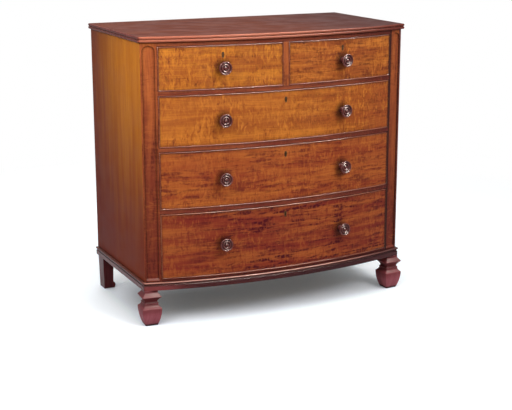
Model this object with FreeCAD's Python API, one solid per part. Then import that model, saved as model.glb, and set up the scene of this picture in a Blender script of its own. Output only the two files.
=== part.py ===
import FreeCAD, Part
import math
import os

# Bow front chest of drawers. Millimetres, +Z up, the bowed front faces -Y, X runs across the chest.
# The origin lies on the floor, midway across the chest and midway between the back and the knob faces.

# Driving dimensions -------------------------------------------------------------------------------

# Carcase in plan
carcase_width = 1060.0
side_depth = 532.0          # from the front corner of a side to its rear edge
bow_rise = 75.0             # how far the middle of the front stands before its corners
overhang = 10.0             # of the top and of the base moulding
side_thickness = 20.0
stile_width = 57.0
stile_lip = 4.0             # the stile reaches this far behind the side's mitre
muntin_width = 20.0
muntin_depth = 44.0
rail_depth = 60.0           # from the front corners back to the rails' straight rear edges

# Carcase in height, from the floor up
foot_height = 133.0
moulding_height = 30.0
base_reveal = 9.0           # base rail seen above the moulding
lower_opening = 243.0
middle_opening = 211.0
upper_opening = 186.0
short_opening = 158.0
rail_thickness = 15.0
frieze_height = 15.0
top_thickness = 20.0
bottom_thickness = 20.0

# Joints and inner parts of the carcase
tenon_length = 14.0
tenon_width = 18.0
tenon_setback = 8.0         # from the stile's rear face
tenon_share = 0.5           # tenon thickness as a share of the rail's
muntin_tenon = 7.0
partition_thickness = 18.0
back_thickness = 10.0
back_rabbet = 10.0
back_board_count = 6
back_board_gap = 0.8
runner_bearing = 45.0       # runner seen inside the stile's edge
centre_runner_width = 80.0
guide_height = 22.0
dustboard_thickness = 6.5
dustboard_groove = 7.0
groove_play = 0.25
stop_width = 42.0
stop_length = 24.0
stop_height = 6.0
stop_gap = 0.3
stop_spread = 0.62          # place of the stops, as a share of the drawer's half width

# Sunk panel of the stiles
panel_border = 6.5
panel_sink = 5.0
panel_foot = 6.0            # flat face under the panel, above the moulding
panel_sill = 8.0            # height of the sloping sill
panel_springing = 28.0      # below the top of the stile
panel_arch_rise = 15.0
panel_cusp_rise = 4.0
panel_cusp_half = 2.5

# Drawers
front_thickness = 22.0
drawer_side_gap = 1.0
drawer_top_gap = 1.5
running_clearance = 0.3
drawer_side_thickness = 10.0
drawer_side_drop = 8.0      # the sides stay this far under the front's top edge
drawer_back_thickness = 9.0
drawer_back_space = 8.0     # between the drawer and the back boards
drawer_bottom_thickness = 6.5
drawer_bottom_rise = 10.0
bottom_groove = 4.0
front_groove = 5.0

# Dovetails
dovetail_lap = 9.0          # wood of the front left in front of the tails
dovetail_pitch = 58.0
dovetail_pin = 11.0         # mean width of a pin
dovetail_slope = 1.0 / 7.0

# Cockbeading
bead_width = 4.0
bead_depth = 7.5
bead_proud = 2.5
bead_chamfer = 1.2          # rounds the nose

# Turned knobs: radii and distances in front of the drawer's face
knob_radius = 24.0
knob_projection = 35.0
knob_rim = 5.0              # length of the knob's rim
knob_neck = 8.0             # length of the neck before the face
knob_neck_radius = 9.0
knob_spigot_half = 6.0      # squared spigot, let into the front
knob_spigot_length = 12.0
spigot_play = 0.05

# Locks
keyhole_drop = 37.0         # from the top of the opening to the middle of the keyhole
keyhole_eye = 3.0
keyhole_slot = 3.0
keyhole_half_height = 8.0
escutcheon_half_width = 6.0
escutcheon_half_height = 11.5
escutcheon_thickness = 1.2
lock_half_width = 30.0
lock_height = 52.0
lock_depth = 11.0
bolt_half_width = 9.0
bolt_thickness = 4.0
bolt_height = 13.0
bolt_travel = 9.0
bolt_play = 0.3
bolt_socket_play = 1.0

# Feet
foot_inset_x = 31.0         # centre of a front foot inside the top's edge
foot_inset_y = 21.0         # centre of a front foot behind the top's front corner
foot_turn = 5.0             # degrees that the front feet turn outwards with the bow
foot_toe_half = 23.0
foot_belly_half = 36.5
foot_belly_height = 65.0
foot_neck_half = 22.5
foot_neck_height = 88.0
foot_cushion_half = 36.0
foot_cushion_height = 110.0
foot_cap_half = 25.0
foot_cap_height = 124.0
rear_foot_width = 44.0
rear_foot_depth = 58.0
rear_foot_taper = 4.0
rear_foot_toe = 9.0
rear_foot_toe_height = 26.0
peg_half = 11.0             # squared peg of a foot
peg_length = 17.0

# Edge profiles
reed_gap = 1.5              # quirk between the two reeds of the top
reed_chamfer = 2.4          # rounds the reeds and the beads of the base moulding
bead_height = 6.5           # upper bead of the base moulding
quirk_height = 1.5
second_bead_height = 5.5

# Values that follow -------------------------------------------------------------------------------

half_width = carcase_width / 2
inner_half = half_width - side_thickness
opening_half = half_width - stile_width
muntin_half = muntin_width / 2
bow_radius = (half_width ** 2 + bow_rise ** 2) / (2 * bow_rise)
inner_radius = bow_radius - front_thickness
knob_offset = (opening_half + muntin_half) / 2
knob_angle = math.degrees(math.asin(knob_offset / bow_radius))


def knob_profile():
    """Radius and distance before the face, from the neck to the middle of the knob."""
    return [
        (knob_neck_radius, 0.0),
        (knob_neck_radius, knob_neck),
        (knob_radius, knob_projection - knob_rim),
        (knob_radius, knob_projection),
        (0.0, knob_projection),
    ]


def reach_before_corners():
    """How far the knob heads stand before the carcase's front corners."""
    angle = math.radians(knob_angle)
    tips = []
    for radius, ahead in knob_profile():
        tips.append((bow_radius + ahead) * math.cos(angle) + radius * math.sin(angle))
    return max(tips) - (bow_radius - bow_rise)


front_reach = reach_before_corners()
corner_y = (front_reach - side_depth) / 2
rear_y = corner_y + side_depth
bow_centre_y = corner_y + bow_radius - bow_rise
rail_back = corner_y + rail_depth
stile_back = corner_y + side_thickness + stile_lip
inner_rear = rear_y - back_thickness
drawer_rear = inner_rear - drawer_back_space

board_top = foot_height + bottom_thickness
moulding_top = foot_height + moulding_height
lower_floor = moulding_top + base_reveal
middle_floor = lower_floor + lower_opening + rail_thickness
upper_floor = middle_floor + middle_opening + rail_thickness
short_floor = upper_floor + upper_opening + rail_thickness
short_ceiling = short_floor + short_opening
carcase_top = short_ceiling + frieze_height

# Name, left and right edge of the opening, floor, ceiling, and the X of knobs and lock
DRAWERS = [
    ("short_left", -opening_half, -muntin_half, short_floor, short_opening, [-knob_offset], -knob_offset),
    ("short_right", muntin_half, opening_half, short_floor, short_opening, [knob_offset], knob_offset),
    ("upper", -opening_half, opening_half, upper_floor, upper_opening, [-knob_offset, knob_offset], 0.0),
    ("middle", -opening_half, opening_half, middle_floor, middle_opening, [-knob_offset, knob_offset], 0.0),
    ("lower", -opening_half, opening_half, lower_floor, lower_opening, [-knob_offset, knob_offset], 0.0),
]


# Geometry helpers ---------------------------------------------------------------------------------

past = 2.0      # cutting shapes run this far past the faces that they open


def vec(x, y, z):
    return FreeCAD.Vector(x, y, z)


def box(x0, x1, y0, y1, z0, z1):
    return Part.makeBox(x1 - x0, y1 - y0, z1 - z0, vec(x0, y0, z0))


def in_plan(height):
    return lambda x, y: vec(x, y, height)


def in_elevation(y):
    return lambda x, z: vec(x, y, z)


def in_side_view(x):
    return lambda y, z: vec(x, y, z)


def in_bow_section(ahead, z):
    """A point in the middle section of the bow, this far before the carcase's front."""
    return vec(0, bow_centre_y - bow_radius - ahead, z)


def outline_edges(place, start, steps):
    """Edges from start. A step is an end point, or a middle and an end point for an arc."""
    edges = []
    here = start
    for step in steps:
        if isinstance(step[0], tuple):
            middle, end = step
            edges.append(Part.Arc(place(*here), place(*middle), place(*end)).toShape())
        else:
            end = step
            edges.append(Part.makeLine(place(*here), place(*end)))
        here = end
    return edges


def outline(place, start, steps):
    """Face inside the outline. A line closes it unless its last step ends at start."""
    last = steps[-1][1] if isinstance(steps[-1][0], tuple) else steps[-1]
    closing = [] if last == start else [start]
    return Part.Face(Part.Wire(outline_edges(place, start, list(steps) + closing)))


def symmetric_outline(place, right_side):
    """Face between a right-hand profile, from the bottom up, and its mirror image."""
    start, steps = right_side[0], right_side[1:]
    mirror = []
    for step in steps:
        if isinstance(step[0], tuple):
            mirror.append(tuple((-a, b) for a, b in step))
        else:
            mirror.append((-step[0], step[1]))
    left = outline_edges(place, (-start[0], start[1]), mirror)
    right = outline_edges(place, start, steps)
    top = steps[-1][1] if isinstance(steps[-1][0], tuple) else steps[-1]
    ends = [
        Part.makeLine(place(*start), place(-start[0], start[1])),
        Part.makeLine(place(*top), place(-top[0], top[1])),
    ]
    return Part.Face(Part.Wire(Part.__sortEdges__(right + left + ends)))


def bow_y(x, radius):
    """Y of the bow of this radius, all bows having one centre."""
    return bow_centre_y - math.sqrt(radius ** 2 - x ** 2)


def bow_arc(radius, x0, x1):
    """Arc step from x0 to x1 on a bow."""
    middle = (x0 + x1) / 2
    return (middle, bow_y(middle, radius)), (x1, bow_y(x1, radius))


def bow_block(radius, x0, x1, back, z0, z1):
    """Board with a bowed front edge, straight ends and a straight back edge."""
    start = (x0, bow_y(x0, radius))
    face = outline(in_plan(z0), start, [bow_arc(radius, x0, x1), (x1, back), (x0, back)])
    return face.extrude(vec(0, 0, z1 - z0))


def bow_panel(outer, inner, x0, x1, z0, z1):
    """Board with both faces bowed about the same centre."""
    start = (x0, bow_y(x0, outer))
    steps = [bow_arc(outer, x0, x1), (x1, bow_y(x1, inner)), bow_arc(inner, x1, x0)]
    return outline(in_plan(z0), start, steps).extrude(vec(0, 0, z1 - z0))


def sweep_along_bow(face, reach):
    """Sweep a face of the middle section along the bow, past this X on both sides."""
    sweep = math.degrees(math.asin(reach / bow_radius))
    axis_point = vec(0, bow_centre_y, 0)
    first = face.copy()
    first.rotate(axis_point, vec(0, 0, 1), -sweep)
    return first.revolve(axis_point, vec(0, 0, 1), 2 * sweep)


def turn_to(shape, x):
    """Carry a shape from the middle of the bow to this X, square to the bowed face."""
    turned = shape.copy()
    turned.rotate(vec(0, bow_centre_y, 0), vec(0, 0, 1), math.degrees(math.asin(x / bow_radius)))
    return turned


def mirrored(shape):
    return shape.mirror(vec(0, 0, 0), vec(1, 0, 0))


def join(shapes):
    """One solid from touching shapes."""
    first, rest = shapes[0], shapes[1:]
    return first.fuse(rest).removeSplitter() if rest else first


def export(name, shapes):
    """Write one node: its solids stay separate."""
    solids = [solid for shape in shapes for solid in shape.Solids]
    Part.makeCompound(solids).exportStep("parts/" + name + ".step")


# Mouldings that run round the front and the sides ---------------------------------------------------

def rim(start, steps):
    """Front, left and right lengths of an edge moulding, mitred at the front corners."""
    tip = (half_width + overhang, bow_y(half_width + overhang, bow_radius + overhang))
    far = 4.0
    outer = (half_width + far * overhang, corner_y + far * (tip[1] - corner_y))
    ahead = corner_y - 2 * bow_rise
    wedge_plan = [
        (half_width, corner_y), outer, (outer[0], ahead), (-outer[0], ahead), (-outer[0], outer[1]),
    ]
    low, high = foot_height - past, carcase_top + top_thickness + past
    wedge = outline(in_plan(low), (-half_width, corner_y), wedge_plan).extrude(vec(0, 0, high - low))
    section = outline(in_bow_section, start, steps)
    front = sweep_along_bow(section, half_width + 3 * overhang).common(wedge)

    def beside(out, z):
        return vec(half_width + out, corner_y - 2 * overhang, z)

    length = rear_y - corner_y + 2 * overhang
    right = outline(beside, start, steps).extrude(vec(0, length, 0)).cut(wedge)
    return [front, mirrored(right), right]


def nose(z0, z1):
    """Steps up the rounded nose of a reed or bead between two heights."""
    flank = overhang - reed_chamfer
    return [(flank, z0), (overhang, z0 + reed_chamfer), (overhang, z1 - reed_chamfer), (flank, z1)]


def top_board():
    """Solid top with two reeds worked round its front and side edges."""
    z0, z1 = carcase_top, carcase_top + top_thickness
    reed = (top_thickness - reed_gap) / 2
    steps = nose(z0, z0 + reed) + nose(z1 - reed, z1) + [(0.0, z1)]
    core = bow_block(bow_radius, -half_width, half_width, rear_y, z0, z1)
    return join([core] + rim((0.0, z0), steps))


def base_moulding():
    """Beaded fascia planted round the base, in three mitred lengths."""
    z0, z1 = foot_height, moulding_top
    bead_start = z1 - bead_height
    second_end = bead_start - quirk_height
    second_start = second_end - second_bead_height
    beads = nose(second_start, second_end) + nose(bead_start, z1)
    return rim((0.0, z0), [(overhang - reed_chamfer, z0)] + beads + [(0.0, z1)])


# Carcase ------------------------------------------------------------------------------------------

def side_board():
    """Right-hand side, mitred to the stile in front and rabbeted for the back."""
    start = (half_width, corner_y)
    steps = [(half_width, rear_y), (inner_half, rear_y), (inner_half, corner_y + side_thickness)]
    blank = outline(in_plan(board_top), start, steps).extrude(vec(0, 0, carcase_top - board_top))
    x0, x1 = inner_half - past, inner_half + back_rabbet
    return blank.cut(box(x0, x1, inner_rear, rear_y + past, board_top - past, carcase_top + past))


def rail_tenon(z0, z1):
    """Right-hand tenon of a rail, in the stile's thickness."""
    slack = (1 - tenon_share) * (z1 - z0) / 2
    y1 = stile_back - tenon_setback
    return box(opening_half, opening_half + tenon_length, y1 - tenon_width, y1, z0 + slack, z1 - slack)


RAIL_LEVELS = [(floor - rail_thickness, floor) for floor in (middle_floor, upper_floor, short_floor)]
BASE_LEVEL = (board_top, lower_floor)
FRIEZE_LEVEL = (short_ceiling, carcase_top)


def stile():
    """Right-hand stile with a sunk panel under an ogee head, and mortises for the rails."""
    start = (opening_half, bow_y(opening_half, bow_radius))
    steps = [
        bow_arc(bow_radius, opening_half, half_width),
        (inner_half, corner_y + side_thickness),
        (inner_half, stile_back),
        (opening_half, stile_back),
    ]
    post = outline(in_plan(board_top), start, steps).extrude(vec(0, 0, carcase_top - board_top))
    tenons = [rail_tenon(z0, z1) for z0, z1 in RAIL_LEVELS + [BASE_LEVEL, FRIEZE_LEVEL]]
    return post.cut([sunk_panel(), panel_slope()] + tenons)


def panel_edges():
    return opening_half + panel_border, half_width - panel_border


def sunk_panel():
    """What the sunk panel takes out of the stile."""
    x0, x1 = panel_edges()
    middle = (x0 + x1) / 2
    half = (x1 - x0) / 2
    foot = moulding_top + panel_foot + panel_sill
    spring = carcase_top - panel_springing
    arch = spring + panel_arch_rise
    haunch_x = 0.73 * half
    haunch_z = spring + 0.68 * panel_arch_rise
    steps = [
        (x1, foot),
        (x1, spring),
        ((middle + haunch_x, haunch_z), (middle + panel_cusp_half, arch)),
        (middle, arch + panel_cusp_rise),
        (middle - panel_cusp_half, arch),
        ((middle - haunch_x, haunch_z), (x0, spring)),
    ]
    ahead = bow_y(x0, bow_radius) - 2 * panel_sink
    face = outline(in_elevation(ahead), (x0, foot), steps)
    cutter = face.extrude(vec(0, corner_y - ahead + 3 * panel_sink, 0))
    outer, inner = bow_radius + panel_sink, bow_radius - panel_sink
    return cutter.common(bow_panel(outer, inner, x0 - past, x1 + past, foot - past, carcase_top))


def panel_slope():
    """What the sloping sill under the sunk panel takes out of the stile."""
    x0, x1 = panel_edges()
    face_z = moulding_top + panel_foot
    ahead = 1.0
    rise = panel_sill / panel_sink
    corners = [(ahead, face_z + panel_sill), (ahead, face_z - ahead * rise)]
    slope = outline(in_bow_section, (-panel_sink, face_z + panel_sill), corners)
    low, high = face_z - 2 * panel_sill, face_z + 2 * panel_sill
    span = box(x0, x1, corner_y - 2 * bow_rise, corner_y + bow_rise, low, high)
    return sweep_along_bow(slope, half_width + overhang).common(span)


def bolt_socket(x, ceiling):
    """Mortise over a lock, in the rail that its bolt shoots into."""
    centre = bow_radius - front_thickness + lock_depth / 2
    near = bow_centre_y - centre
    half_thickness = bolt_thickness / 2 + bolt_socket_play
    half_length = bolt_half_width + bolt_socket_play
    depth = bolt_travel - drawer_top_gap + bolt_socket_play
    y0, y1 = near - half_thickness, near + half_thickness
    return turn_to(box(-half_length, half_length, y0, y1, ceiling - past, ceiling + depth), x)


def muntin_joint(z0, z1):
    """Tenon of the muntin in a rail."""
    middle = bow_y(0, bow_radius) + muntin_depth / 2
    quarter = muntin_width / 4
    return box(-quarter, quarter, middle - muntin_depth / 4, middle + muntin_depth / 4, z0, z1)


def rail(level, groove):
    """Bowed rail with a straight back edge, tenoned into both stiles."""
    z0, z1 = level
    tenon = rail_tenon(z0, z1)
    body = bow_block(bow_radius, -opening_half, opening_half, rail_back, z0, z1)
    blank = join([body, tenon, mirrored(tenon)])
    if not groove:
        return blank
    return blank.cut(dustboard_slot(z0, z1, -groove_reach(), groove_reach(), rail_back + past))


def groove_reach():
    return opening_half - runner_bearing + dustboard_groove


def dustboard_slot(z0, z1, x0, x1, back):
    """Groove for a dustboard, half-way up a rail or runner."""
    middle = (z0 + z1) / 2
    half = dustboard_thickness / 2 + groove_play
    return box(x0, x1, rail_back - dustboard_groove, back, middle - half, middle + half)


def drawer_rails():
    """The three rails between the drawer rows, with the mortises over the locks."""
    rails = []
    for z0, z1 in RAIL_LEVELS:
        body = rail((z0, z1), True).cut(bolt_socket(0.0, z0))
        if z1 == short_floor:
            body = body.cut(muntin_joint(z1 - muntin_tenon, z1 + past))
        rails.append(body)
    return rails


def frieze_rail():
    sockets = [bolt_socket(x, short_ceiling) for x in (-knob_offset, knob_offset)]
    mortise = muntin_joint(short_ceiling - past, short_ceiling + muntin_tenon)
    return rail(FRIEZE_LEVEL, False).cut(sockets + [mortise])


def muntin():
    """Upright between the two short drawers."""
    back = bow_y(0, bow_radius) + muntin_depth
    post = bow_block(bow_radius, -muntin_half, muntin_half, back, short_floor, short_ceiling)
    return join([post, muntin_joint(short_floor - muntin_tenon, short_ceiling + muntin_tenon)])


def partition():
    """Board behind the muntin that parts the two short drawers and guides them."""
    half = partition_thickness / 2
    front = bow_y(0, bow_radius) + muntin_depth
    return box(-half, half, front, inner_rear, short_floor, short_ceiling)


def bottom_board():
    """Board under the carcase that the sides stand on, mortised for the pegs of the feet."""
    board = bow_block(bow_radius, -half_width, half_width, rear_y, foot_height, board_top)
    return board.cut([peg(x, y, turn) for x, y, turn in foot_places()])


def side_strip(z0, z1):
    """Right-hand strip beside and behind the stile and rail: a runner or a kicker."""
    start = (opening_half, stile_back)
    inner = opening_half - runner_bearing
    steps = [(inner_half, stile_back), (inner_half, inner_rear), (inner, inner_rear), (inner, rail_back),
             (opening_half, rail_back)]
    return outline(in_plan(z0), start, steps).extrude(vec(0, 0, z1 - z0))


def centre_strip(z0, z1):
    half = centre_runner_width / 2
    return box(-half, half, rail_back, inner_rear, z0, z1)


def drawer_runners():
    """Runners, the guides on them and the kickers over the short drawers."""
    strips = []
    for z0, z1 in RAIL_LEVELS:
        slot = dustboard_slot(z0, z1, -groove_reach(), groove_reach(), inner_rear + past)
        right = side_strip(z0, z1).cut(slot)
        strips += [right, mirrored(right)]
        if z1 == short_floor:
            strips.append(grooved_centre_strip(z0, z1))
    for z0, z1 in (BASE_LEVEL, FRIEZE_LEVEL):
        right = side_strip(z0, z1)
        strips += [right, mirrored(right)]
    strips.append(centre_strip(*FRIEZE_LEVEL))
    for floor in (lower_floor, middle_floor, upper_floor, short_floor):
        guide = box(opening_half, inner_half, stile_back, inner_rear, floor, floor + guide_height)
        strips += [guide, mirrored(guide)]
    return strips


def grooved_centre_strip(z0, z1):
    """Runner under the partition, with a groove along each side."""
    half = centre_runner_width / 2
    right = dustboard_slot(z0, z1, half - dustboard_groove, half + past, inner_rear + past)
    return centre_strip(z0, z1).cut([right, mirrored(right)])


def dustboards():
    """Thin boards between the drawer rows, in grooves of the rails and runners."""
    boards = []
    reach = groove_reach() - groove_play
    front = rail_back - dustboard_groove + groove_play
    for z0, z1 in RAIL_LEVELS:
        middle = (z0 + z1) / 2
        low, high = middle - dustboard_thickness / 2, middle + dustboard_thickness / 2
        if z1 == short_floor:
            near = centre_runner_width / 2 - dustboard_groove + groove_play
            right = box(near, reach, rail_back + groove_play, inner_rear - groove_play, low, high)
            boards += [right, mirrored(right)]
        else:
            boards.append(box(-reach, reach, front, inner_rear - groove_play, low, high))
    return boards


def back_boards():
    """Upright boards in the rabbets of the sides."""
    reach = inner_half + back_rabbet
    pitch = 2 * reach / back_board_count
    boards = []
    for index in range(back_board_count):
        x0 = -reach + index * pitch
        x1 = x0 + pitch
        left_gap = back_board_gap / 2 if index else 0.0
        right_gap = back_board_gap / 2 if index < back_board_count - 1 else 0.0
        boards.append(box(x0 + left_gap, x1 - right_gap, inner_rear, rear_y, board_top, carcase_top))
    return boards


# Feet ---------------------------------------------------------------------------------------------

def foot_places():
    """X, Y and turn of the front left, front right, rear left and rear right foot."""
    x_front = half_width + overhang - foot_inset_x
    y_front = bow_y(half_width + overhang, bow_radius + overhang) + foot_inset_y
    x_rear = half_width - rear_foot_width / 2
    y_rear = rear_y - rear_foot_depth / 2
    return [
        (-x_front, y_front, -foot_turn),
        (x_front, y_front, foot_turn),
        (-x_rear, y_rear, 0.0),
        (x_rear, y_rear, 0.0),
    ]


def peg(x, y, turn):
    """Squared peg of a foot, in the bottom board."""
    block = box(-peg_half, peg_half, -peg_half, peg_half, foot_height, foot_height + peg_length)
    block.rotate(vec(0, 0, 0), vec(0, 0, 1), turn)
    block.translate(vec(x, y, 0))
    return block


def front_foot(x, y, turn):
    """Square baluster: tapered belly, hollow shoulder, neck and cushion, the same from all sides."""
    belly, neck, cushion = foot_belly_height, foot_neck_height, foot_cushion_height
    profile = [
        (foot_toe_half, 0.0),
        ((foot_toe_half + 0.72 * (foot_belly_half - foot_toe_half), 0.48 * belly),
         (foot_belly_half, belly)),
        ((foot_neck_half + 0.20 * (foot_belly_half - foot_neck_half), (belly + 2 * neck) / 3),
         (foot_neck_half, neck)),
        ((foot_neck_half + 0.30 * (foot_cushion_half - foot_neck_half), (neck + cushion) / 2),
         (foot_cushion_half, cushion)),
        (foot_cap_half, foot_cap_height),
        (foot_cap_half, foot_height),
    ]
    reach = 2 * foot_belly_half
    one_way = symmetric_outline(in_elevation(-reach), profile).extrude(vec(0, 2 * reach, 0))
    other_way = one_way.copy()
    other_way.rotate(vec(0, 0, 0), vec(0, 0, 1), 90)
    foot = one_way.common(other_way)
    foot.rotate(vec(0, 0, 0), vec(0, 0, 1), turn)
    foot.translate(vec(x, y, 0))
    return join([foot, peg(x, y, turn)])


def rear_foot(x, y, turn):
    """Right-hand rear foot: a tapered post with a small toe on its inner side."""
    half, deep = rear_foot_width / 2, rear_foot_depth / 2
    toe = rear_foot_toe
    post_end = rear_foot_toe_height
    inner_foot = -half + rear_foot_taper * 0.75
    steps = [
        (half - rear_foot_taper, 0.0),
        (half, foot_height),
        (-half, foot_height),
        (inner_foot, post_end),
        ((inner_foot - 0.7 * toe, 0.75 * post_end), (inner_foot - toe, 0.45 * post_end)),
    ]
    across = outline(in_elevation(y - 2 * deep), (inner_foot - 0.6 * toe, 0.0), steps)
    across = across.extrude(vec(0, 4 * deep, 0))
    across.translate(vec(x, 0, 0))
    side = [
        (deep, 0.0),
        (deep, foot_height),
        (-deep, foot_height),
    ]
    along = outline(in_side_view(x - 3 * half), (-deep + rear_foot_taper, 0.0), side)
    along = along.extrude(vec(6 * half, 0, 0))
    along.translate(vec(0, y, 0))
    return join([across.common(along), peg(x, y, turn)])


# Drawers ------------------------------------------------------------------------------------------

class Drawer:
    """Sizes of one drawer, from its opening."""

    def __init__(self, name, left, right, floor, height, knobs, lock):
        self.name = name
        self.x0 = left + drawer_side_gap
        self.x1 = right - drawer_side_gap
        self.z0 = floor + running_clearance
        self.z1 = floor + height - drawer_top_gap
        self.side_top = self.z1 - drawer_side_drop
        self.inside_x0 = self.x0 + drawer_side_thickness
        self.inside_x1 = self.x1 - drawer_side_thickness
        self.bottom_z0 = self.z0 + drawer_bottom_rise
        self.bottom_z1 = self.bottom_z0 + drawer_bottom_thickness
        self.back_front = drawer_rear - drawer_back_thickness
        self.back_z0 = self.bottom_z1 + groove_play
        self.knobs = knobs
        self.lock = lock
        self.floor = floor
        self.knob_z = floor + height / 2
        self.keyhole_z = floor + height - keyhole_drop


def tail_rows(z0, z1):
    """Middle heights of the dovetails between z0 and z1, and half a tail's width at its root."""
    count = max(2, round((z1 - z0) / dovetail_pitch))
    pitch = (z1 - z0) / count
    return [z0 + (row + 0.5) * pitch for row in range(count)], (pitch - dovetail_pin) / 2


def tails(x0, x1, root, end, z0, z1):
    """Dovetails of a drawer side: they widen from their root to their end."""
    rows, half = tail_rows(z0, z1)
    flare = half + abs(end - root) * dovetail_slope
    shapes = []
    for z in rows:
        steps = [(end, z - flare), (end, z + flare), (root, z + half)]
        shapes.append(outline(in_side_view(x0), (root, z - half), steps).extrude(vec(x1 - x0, 0, 0)))
    return shapes


def side_front(x0, x1):
    """Y of a drawer side's shoulder, square to the side where the front's inner face is nearest."""
    return min(bow_y(x0, inner_radius), bow_y(x1, inner_radius))


def front_tails(drawer, x0, x1):
    """Tails in the half-blind sockets of the bowed front."""
    end = max(bow_y(x0, bow_radius), bow_y(x1, bow_radius)) + dovetail_lap
    return tails(x0, x1, side_front(x0, x1), end, drawer.z0, drawer.side_top)


def side_ends(drawer):
    """X of the outer and inner faces of both drawer sides."""
    return [(drawer.x0, drawer.inside_x0), (drawer.inside_x1, drawer.x1)]


def drawer_side(drawer, x0, x1):
    """Drawer side: half-blind tails in front, through tails behind, grooved for the bottom."""
    body = box(x0, x1, side_front(x0, x1), drawer.back_front, drawer.z0, drawer.side_top)
    heel = box(x0, x1, drawer.back_front, drawer_rear, drawer.z0, drawer.back_z0)
    rear_tails = tails(x0, x1, drawer.back_front, drawer_rear, drawer.back_z0, drawer.side_top)
    side = join([body, heel] + front_tails(drawer, x0, x1) + rear_tails)
    return side.cut(bottom_slot(drawer, bow_radius, bottom_groove))


def drawer_back(drawer):
    """Drawer back: it stands on the bottom, between pins that fill the sides' tails."""
    board = box(drawer.x0, drawer.x1, drawer.back_front, drawer_rear, drawer.back_z0, drawer.side_top)
    sockets = []
    for x0, x1 in side_ends(drawer):
        sockets += tails(x0, x1, drawer.back_front, drawer_rear, drawer.back_z0, drawer.side_top)
    return board.cut(sockets)


def bottom_slot(drawer, radius, reach):
    """Groove that holds the drawer's bottom, reaching this far past the inner faces of the sides."""
    low, high = drawer.bottom_z0 - groove_play, drawer.bottom_z1 + groove_play
    x0, x1 = drawer.inside_x0 - reach, drawer.inside_x1 + reach
    return bow_block(radius, x0, x1, drawer_rear + past, low, high)


def drawer_bottom(drawer):
    """Thin bottom, let into the sides and, with a bowed edge, into the front."""
    reach = bottom_groove - groove_play
    tongue = front_groove - groove_play
    x0, x1 = drawer.inside_x0, drawer.inside_x1
    low, high = drawer.bottom_z0, drawer.bottom_z1
    panel = bow_block(inner_radius - groove_play, x0 - reach, x1 + reach, drawer_rear, low, high)
    edge = bow_block(inner_radius + tongue, x0 + groove_play, x1 - groove_play, drawer_rear, low, high)
    return join([panel, edge])


def cockbead(drawer):
    """Four strips with rounded noses, mitred round the edges of the front."""
    x0, x1, z0, z1 = drawer.x0, drawer.x1, drawer.z0, drawer.z1
    wide, chamfer = bead_width, bead_chamfer
    flank = bead_proud - chamfer
    ahead = corner_y - 3 * bow_rise
    length = 4 * bow_rise

    def mitre(start, steps):
        return outline(in_elevation(ahead), start, steps).extrude(vec(0, length, 0))

    def lengthwise(z):
        top = z + wide
        steps = [(flank, z), (bead_proud, z + chamfer), (bead_proud, top - chamfer), (flank, top)]
        section = outline(in_bow_section, (-bead_depth, z), steps + [(-bead_depth, top)])
        return sweep_along_bow(section, half_width)

    def upright(x):
        far = x + wide
        corners = [(x, flank), (x + chamfer, bead_proud), (far - chamfer, bead_proud), (far, flank)]
        steps = [(across, bow_y(across, bow_radius + out)) for across, out in corners]
        back = bow_radius - bead_depth
        steps += [(far, bow_y(far, back)), bow_arc(back, far, x)]
        return outline(in_plan(z0), (x, bow_y(x, back)), steps).extrude(vec(0, 0, z1 - z0))

    top = mitre((x0, z1), [(x1, z1), (x1 - wide, z1 - wide), (x0 + wide, z1 - wide)])
    low = mitre((x0, z0), [(x0 + wide, z0 + wide), (x1 - wide, z0 + wide), (x1, z0)])
    left = mitre((x0, z0), [(x0, z1), (x0 + wide, z1 - wide), (x0 + wide, z0 + wide)])
    right = mitre((x1, z0), [(x1 - wide, z0 + wide), (x1 - wide, z1 - wide), (x1, z1)])
    return [
        lengthwise(z1 - wide).common(top),
        lengthwise(z0).common(low),
        upright(x0).common(left),
        upright(x1 - wide).common(right),
    ]


def radial_prism(start, steps, x, near, far):
    """Outline in elevation, cut square to the bow from one distance behind its face to another."""
    y0 = bow_centre_y - bow_radius + near
    shape = outline(in_elevation(y0), start, steps).extrude(vec(0, far - near, 0))
    return turn_to(shape, x)


def keyhole(drawer, far):
    """Eye and flared slot of the keyhole, filed with straight sides."""
    z = drawer.keyhole_z
    eye, slot = keyhole_eye, keyhole_slot / 2
    top, low = z + keyhole_half_height, z - keyhole_half_height
    flat = 0.4 * eye
    throat = top - 2 * eye
    right = [(slot, throat), (eye, throat + eye - flat), (eye, top - eye + flat), (flat, top)]
    left = [(-x, height) for x, height in reversed(right)]
    foot = 1.4 * slot
    return radial_prism((-foot, low), [(foot, low)] + right + left, drawer.lock, -past, far)


def escutcheon_blank(drawer):
    """Shield of the escutcheon, let in flush with the face."""
    z = drawer.keyhole_z
    wide, tall = escutcheon_half_width, escutcheon_half_height
    head = 0.62 * wide
    right = [(0.78 * wide, z - 0.45 * tall), (wide, z + 0.35 * tall), (head, z + tall)]
    left = [(-x, height) for x, height in reversed(right)]
    return radial_prism((0.0, z - tall), right + left, drawer.lock, 0.0, escutcheon_thickness)


def lock_block(drawer, half_width_x, z0, z1, near, far):
    """Box square to the bow at the lock, between two distances behind the face."""
    steps = [(half_width_x, z0), (half_width_x, z1), (-half_width_x, z1)]
    return radial_prism((-half_width_x, z0), steps, drawer.lock, near, far)


def lock_case(drawer, overrun):
    """Lock case, let in from the back and the top edge. The mortise for it runs out past both."""
    near, far = front_thickness - lock_depth, front_thickness + overrun
    low, high = drawer.z1 - lock_height, drawer.z1 + overrun
    return lock_block(drawer, lock_half_width, low, high, near, far)


def bolt_shape(drawer, play):
    """Bolt, or the slot that it runs in."""
    middle = front_thickness - lock_depth / 2
    thick = bolt_thickness / 2 + play
    z0 = drawer.z1 - bolt_height - play
    z1 = drawer.z1 + play
    return lock_block(drawer, bolt_half_width + play, z0, z1, middle - thick, middle + thick)


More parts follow.
